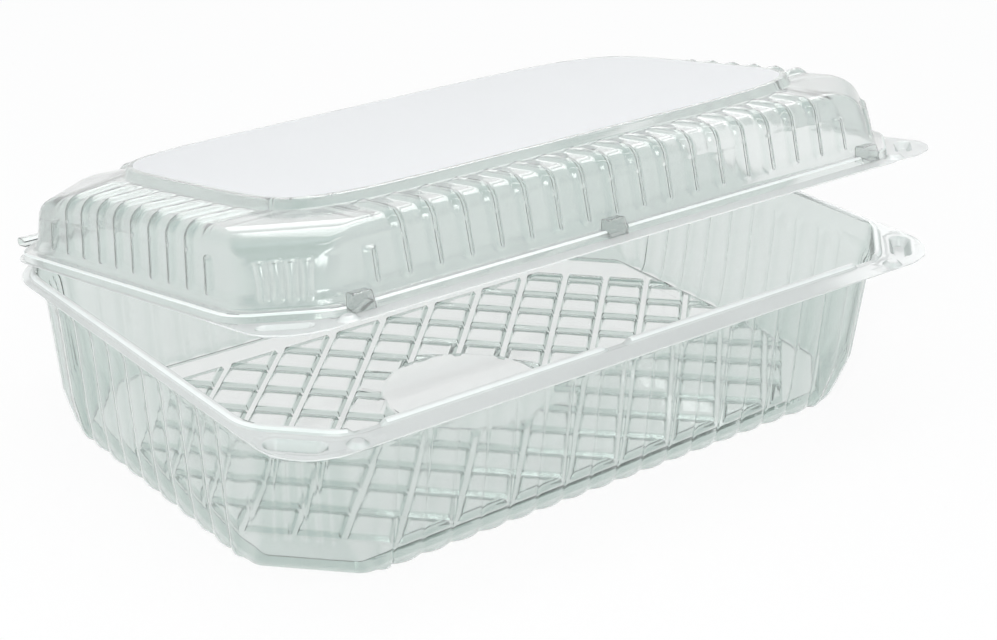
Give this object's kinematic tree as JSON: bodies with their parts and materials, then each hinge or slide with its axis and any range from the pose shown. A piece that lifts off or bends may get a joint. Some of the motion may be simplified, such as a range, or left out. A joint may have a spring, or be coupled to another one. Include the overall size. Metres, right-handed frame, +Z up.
{
  "type": "plastic clamshell pack",
  "caption": "Clear hinged food pack formed from one sheet: fluted tray with a waffle floor, ribbed lid with a raised panel, and a folding crease at the back.",
  "frame": {"origin": "middle of the pack's plan, on the plane that the foot stands on", "axes": "+X along the long side, +Y from the front towards the hinge, +Z up"},
  "size_m": [0.242, 0.176, 0.1019],
  "materials": {
    "clear_sheet": "gloss"
  },
  "bodies": {
    "tray": {"tray": "clear_sheet", "living_hinge": "clear_sheet"},
    "lid": {"lid": "clear_sheet"}
  },
  "joints": [
    {"name": "lid_hinge", "type": "hinge", "parent": "tray", "child": "lid", "pos_m": [0, 0.0867, 0.04905], "axis": [-1, 0, 0], "range_deg": [-11, 169], "deforming": ["living_hinge"]}
  ]
}
